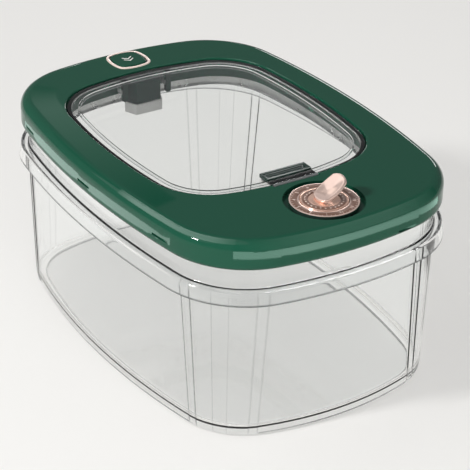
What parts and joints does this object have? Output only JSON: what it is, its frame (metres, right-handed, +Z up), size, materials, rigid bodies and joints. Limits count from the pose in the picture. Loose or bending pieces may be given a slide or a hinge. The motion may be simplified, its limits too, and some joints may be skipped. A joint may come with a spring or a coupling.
{
  "type": "rice bucket",
  "caption": "Clear rice bucket with a dark green lift-off lid: a clear flip cover opened by a push button, a hinge block and a rose-gold date dial with a thumb lever.",
  "frame": {"origin": "on the ground, under the middle of the tub", "axes": "+Z up, -Y towards the button end where a person stands, +Y towards the cover's hinge and the dial, +X to the right"},
  "size_m": [0.2762, 0.3876, 0.2011],
  "materials": {
    "clear_tub": "clear polished moulding",
    "clear_cover": "clear polished moulding",
    "green_shell": "glossy dark green moulding",
    "green_inner": "satin dark green moulding",
    "translucent_liner": "milky translucent moulding",
    "white_seal": "soft white silicone",
    "rose_gold": "rose-gold plating, polished",
    "grey_inner": "plain grey moulding",
    "steel": "plain steel"
  },
  "bodies": {
    "tub": {"tub": "clear_tub"},
    "lid": {"lid_frame": "green_shell", "lid_liner": "translucent_liner", "lid_seal": "white_seal", "lid_screws": "steel", "button_ring": "rose_gold", "button_spring": "steel", "button_guide": "grey_inner", "latch_housing": "green_inner", "latch_guide": "grey_inner", "hinge_pin": "steel", "dial_face": "rose_gold"},
    "cover": {"flip_cover": "clear_cover", "cover_seal": "white_seal", "cover_hooks": "green_inner", "hinge_block": "green_inner", "hinge_screws": "steel"},
    "button": {"button_cap": "green_shell"},
    "latch": {"latch_slider": "grey_inner"},
    "dial": {"dial_disc": "rose_gold", "dial_lever": "rose_gold", "dial_shaft": "grey_inner", "dial_clip": "steel"}
  },
  "joints": [
    {"name": "lid_lift", "type": "slide", "parent": "tub", "child": "lid", "axis": [0, 0, 1], "range_m": [0, 0.06]},
    {"name": "flip_open", "type": "hinge", "parent": "lid", "child": "cover", "pos_m": [0, 0.1061, 0.1805], "axis": [-1, 0, 0], "range_deg": [0, 100]},
    {"name": "button_press", "type": "slide", "parent": "lid", "child": "button", "axis": [0, 0, -1], "range_m": [0, 0.0025], "stiffness_N_per_m": 500, "springref_m": -0.002, "deforming": ["button_spring"]},
    {"name": "latch_slide", "type": "slide", "parent": "lid", "child": "latch", "axis": [0, -1, 0], "range_m": [0, 0.0025]},
    {"name": "dial_turn", "type": "hinge", "parent": "lid", "child": "dial", "pos_m": [0, 0.147, 0.178], "axis": [0, 0, 1], "continuous": true}
  ],
  "couplings": [
    {"joint": "latch_slide", "follows": "button_press", "ratio": 1}
  ]
}
